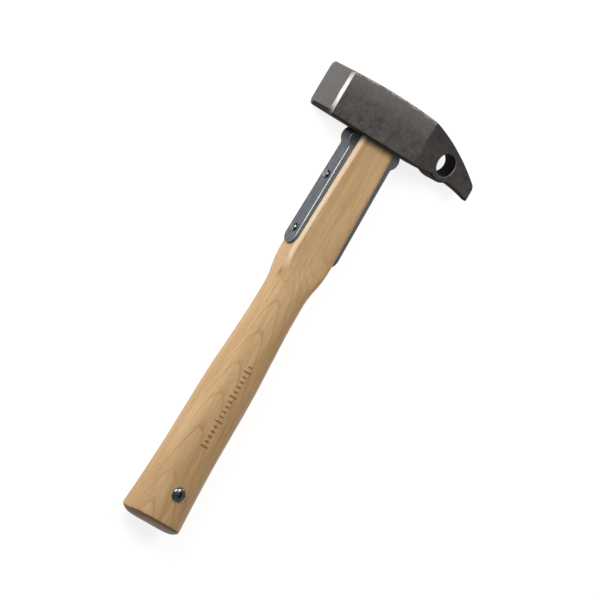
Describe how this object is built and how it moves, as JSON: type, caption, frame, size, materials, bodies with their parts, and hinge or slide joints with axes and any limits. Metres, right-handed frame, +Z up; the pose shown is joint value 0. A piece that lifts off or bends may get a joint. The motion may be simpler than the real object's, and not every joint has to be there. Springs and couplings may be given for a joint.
{
  "type": "wall hammer",
  "caption": "Forged hammer head with a square striking face, a drooping pick and a carabiner hole, on a strapped wooden handle with a lanyard screw.",
  "frame": {"origin": "bottom centre of the hammer's box, on the surface that it lies on its side on", "axes": "+X along the handle towards the head, +Y towards the striking face, +Z up, away from the surface it lies on"},
  "size_m": [0.2872, 0.1186, 0.029],
  "materials": {
    "forged_steel": "dark forged steel with a ground striking face and bevel",
    "handle_wood": "pale sanded and oiled hardwood, cathedral grain",
    "strap_steel": "blue-grey rolled steel bar",
    "rivet_steel": "bright domed steel",
    "wedge_wood": "darker hardwood, end grain up",
    "wedge_steel": "plain steel, hammered edge",
    "screw_steel": "bright plated steel"
  },
  "bodies": {
    "root": {"head": "forged_steel", "handle": "handle_wood", "front_strap": "strap_steel", "rear_strap": "strap_steel", "upper_rivet": "rivet_steel", "lower_rivet": "rivet_steel", "wood_wedge": "wedge_wood", "front_steel_wedge": "wedge_steel", "rear_steel_wedge": "wedge_steel", "lanyard_screw": "screw_steel", "lanyard_barrel_nut": "screw_steel"}
  },
  "joints": []
}
